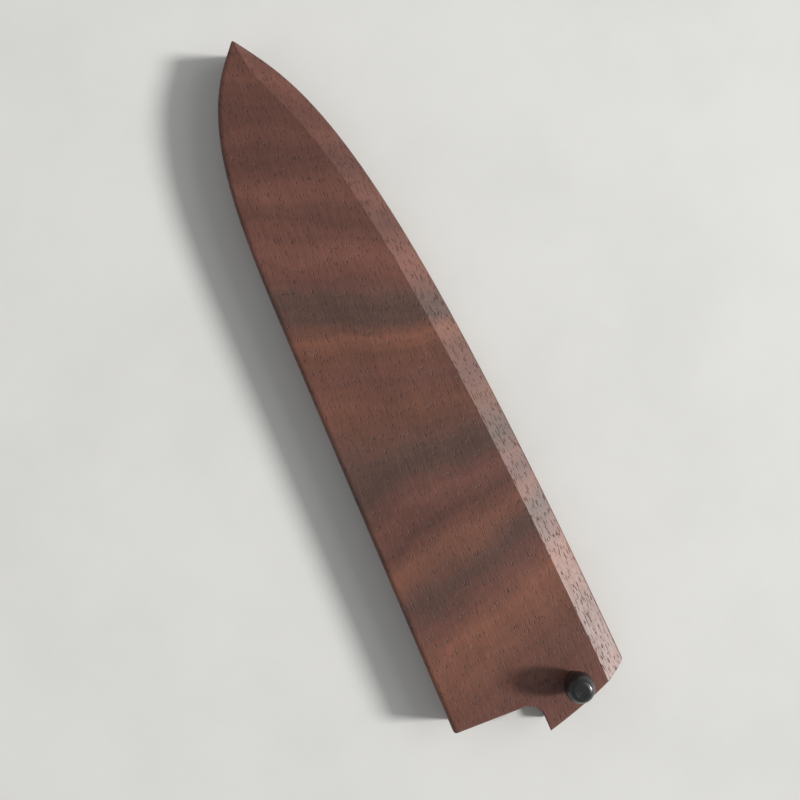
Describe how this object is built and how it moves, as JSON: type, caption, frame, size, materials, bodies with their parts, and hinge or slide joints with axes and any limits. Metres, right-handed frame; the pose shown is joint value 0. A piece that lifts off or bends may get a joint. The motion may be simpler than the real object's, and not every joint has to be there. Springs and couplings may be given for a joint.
{
  "type": "knife blade guard",
  "caption": "Wooden sheath for a chef's knife blade: glued halves round a flat pocket open at the mouth, bevelled along one side, with a turned pin that holds the knife in.",
  "frame": {"origin": "centre of the sheath's length and width, on the back face that it rests on", "axes": "+X from the spine side to the cutting-edge side, +Y along the blade to the tip, +Z out of the front face"},
  "size_m": [0.0586, 0.239, 0.0239],
  "materials": {
    "walnut": "oiled satin",
    "ebony": "polished satin"
  },
  "bodies": {
    "sheath": {"front_half": "walnut", "back_half": "walnut"},
    "pin": {"retaining_pin": "ebony"}
  },
  "joints": [
    {"name": "pin_draw", "type": "slide", "parent": "sheath", "child": "pin", "axis": [0, 0, 1], "range_m": [0, 0.018]}
  ]
}
